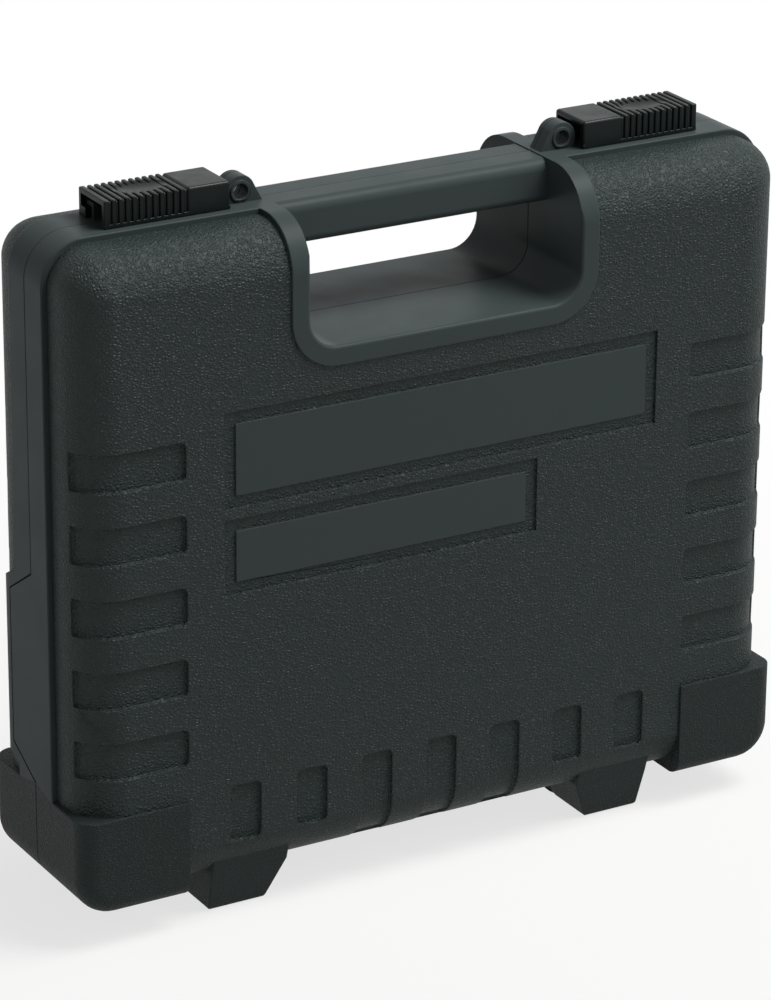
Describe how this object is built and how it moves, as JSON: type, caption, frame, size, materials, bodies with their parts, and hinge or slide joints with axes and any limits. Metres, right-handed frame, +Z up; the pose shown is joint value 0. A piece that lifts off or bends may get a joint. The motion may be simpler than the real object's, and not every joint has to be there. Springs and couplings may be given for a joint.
{
  "type": "guitar pedal case",
  "caption": "Hard plastic carry case for compact guitar pedals, with a hinged lid, slide latches, an integral handle and cut foam.",
  "frame": {"origin": "on the floor, centred under the case, in the parting plane of the two shells", "axes": "+X across the case to the right as seen from the lid side, +Y from the lid towards the base, +Z up from the hinge feet to the handle"},
  "size_m": [0.358, 0.0902, 0.3275],
  "materials": {
    "shell_plastic": "grained charcoal polypropylene with smooth rim, ring and handle",
    "latch_plastic": "smooth satin black",
    "hinge_steel": "bright drawn wire",
    "foam": "open-cell charcoal foam"
  },
  "bodies": {
    "base": {"base_shell": "shell_plastic", "base_foam_backing": "foam", "base_foam_tray": "foam", "hinge_pin_left": "hinge_steel", "hinge_pin_right": "hinge_steel"},
    "lid": {"lid_shell": "shell_plastic", "lid_foam_pad": "foam"},
    "slider_left": {"latch_slider_left": "latch_plastic"},
    "slider_right": {"latch_slider_right": "latch_plastic"}
  },
  "joints": [
    {"name": "lid_hinge", "type": "hinge", "parent": "base", "child": "lid", "pos_m": [0, 0, 0.006], "axis": [1, 0, 0], "range_deg": [0, 110]},
    {"name": "latch_slide_left", "type": "slide", "parent": "base", "child": "slider_left", "axis": [-1, 0, 0], "range_m": [0, 0.014]},
    {"name": "latch_slide_right", "type": "slide", "parent": "base", "child": "slider_right", "axis": [1, 0, 0], "range_m": [0, 0.014]}
  ]
}
